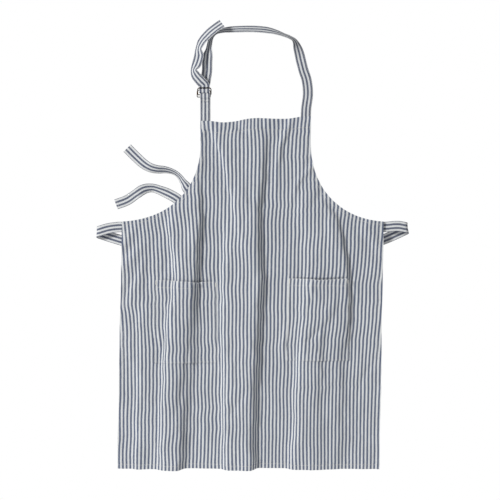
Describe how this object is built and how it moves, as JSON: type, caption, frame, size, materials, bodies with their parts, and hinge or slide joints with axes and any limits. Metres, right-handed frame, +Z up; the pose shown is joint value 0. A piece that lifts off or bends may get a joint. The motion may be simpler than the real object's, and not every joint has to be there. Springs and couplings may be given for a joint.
{
  "type": "bib apron",
  "caption": "Striped woven bib apron with patch pockets, waist ties and a neck strap adjusted by D-rings, hanging by its strap.",
  "frame": {"origin": "under the top of the neck strap, where a peg or hook would carry the hanging apron", "axes": "+Z up as the apron hangs, -Y out of the front, +X to the right seen from the front"},
  "size_m": [0.8188, 0.062, 1.1667],
  "materials": {
    "striped_cloth": "yarn-dyed cotton and linen weave, lengthwise slate blue and ecru stripes, washed",
    "pocket_cloth": "the same striped weave, cut with the stripes upright",
    "strap_cloth": "folded tape of the same striped weave, stripes along its length",
    "stitch_thread": "matt ecru cotton sewing thread",
    "ring_metal": "antique brass, dark in the hollows and rubbed brighter on top"
  },
  "bodies": {
    "neck_loop": {"short_strap": "strap_cloth", "long_strap": "strap_cloth", "fold_tack": "stitch_thread"},
    "front_ring": {"front_d_ring": "ring_metal"},
    "rear_ring": {"rear_d_ring": "ring_metal"},
    "strap_tail": {"strap_tail": "strap_cloth"},
    "panel": {"apron_panel": "striped_cloth", "top_hem": "striped_cloth", "left_armhole_hem": "striped_cloth", "right_armhole_hem": "striped_cloth", "left_side_hem": "striped_cloth", "right_side_hem": "striped_cloth", "bottom_hem": "striped_cloth", "left_pocket": "pocket_cloth", "right_pocket": "pocket_cloth", "left_pocket_hem": "pocket_cloth", "right_pocket_hem": "pocket_cloth", "left_pocket_outer_tack": "stitch_thread", "left_pocket_inner_tack": "stitch_thread", "right_pocket_outer_tack": "stitch_thread", "right_pocket_inner_tack": "stitch_thread", "short_strap_tab": "strap_cloth", "short_strap_tack": "stitch_thread", "long_strap_tab": "strap_cloth", "long_strap_tack": "stitch_thread", "left_tie_tab": "strap_cloth", "left_tie_tack": "stitch_thread", "right_tie_tab": "strap_cloth", "right_tie_tack": "stitch_thread"},
    "left_tie": {"left_waist_tie": "strap_cloth"},
    "left_end": {"left_tie_end": "strap_cloth"},
    "right_tie": {"right_waist_tie": "strap_cloth"},
    "right_end": {"right_tie_end": "strap_cloth"}
  },
  "joints": [
    {"name": "panel_swing", "type": "hinge", "parent": "neck_loop", "child": "panel", "pos_m": [0, 0.005, -0.224], "axis": [1, 0, 0], "range_deg": [-60, 25]},
    {"name": "front_ring_tilt", "type": "hinge", "parent": "neck_loop", "child": "front_ring", "pos_m": [-0.1216, 0.00035, -0.1645], "axis": [1, 0, 0], "range_deg": [0, 70]},
    {"name": "rear_ring_tilt", "type": "hinge", "parent": "neck_loop", "child": "rear_ring", "pos_m": [-0.1216, 0.00285, -0.17], "axis": [1, 0, 0], "range_deg": [-1.5, 1.5]},
    {"name": "tail_flip", "type": "hinge", "parent": "neck_loop", "child": "strap_tail", "pos_m": [-0.1216, 0.0004, -0.1437], "axis": [1, 0, 0], "range_deg": [0, 90]},
    {"name": "left_tie_swing", "type": "hinge", "parent": "panel", "child": "left_tie", "pos_m": [-0.3415, 0.005, -0.508], "axis": [0, 0, 1], "range_deg": [0, 90]},
    {"name": "left_end_drop", "type": "hinge", "parent": "left_tie", "child": "left_end", "pos_m": [-0.192, 0.009, -0.438], "axis": [0, -1, 0], "range_deg": [0, 85]},
    {"name": "right_tie_swing", "type": "hinge", "parent": "panel", "child": "right_tie", "pos_m": [0.3455, 0.005, -0.508], "axis": [0, 0, -1], "range_deg": [0, 90]},
    {"name": "right_end_drop", "type": "hinge", "parent": "right_tie", "child": "right_end", "pos_m": [-0.166, 0.022, -0.411], "axis": [0, -1, 0], "range_deg": [0, 115]}
  ]
}
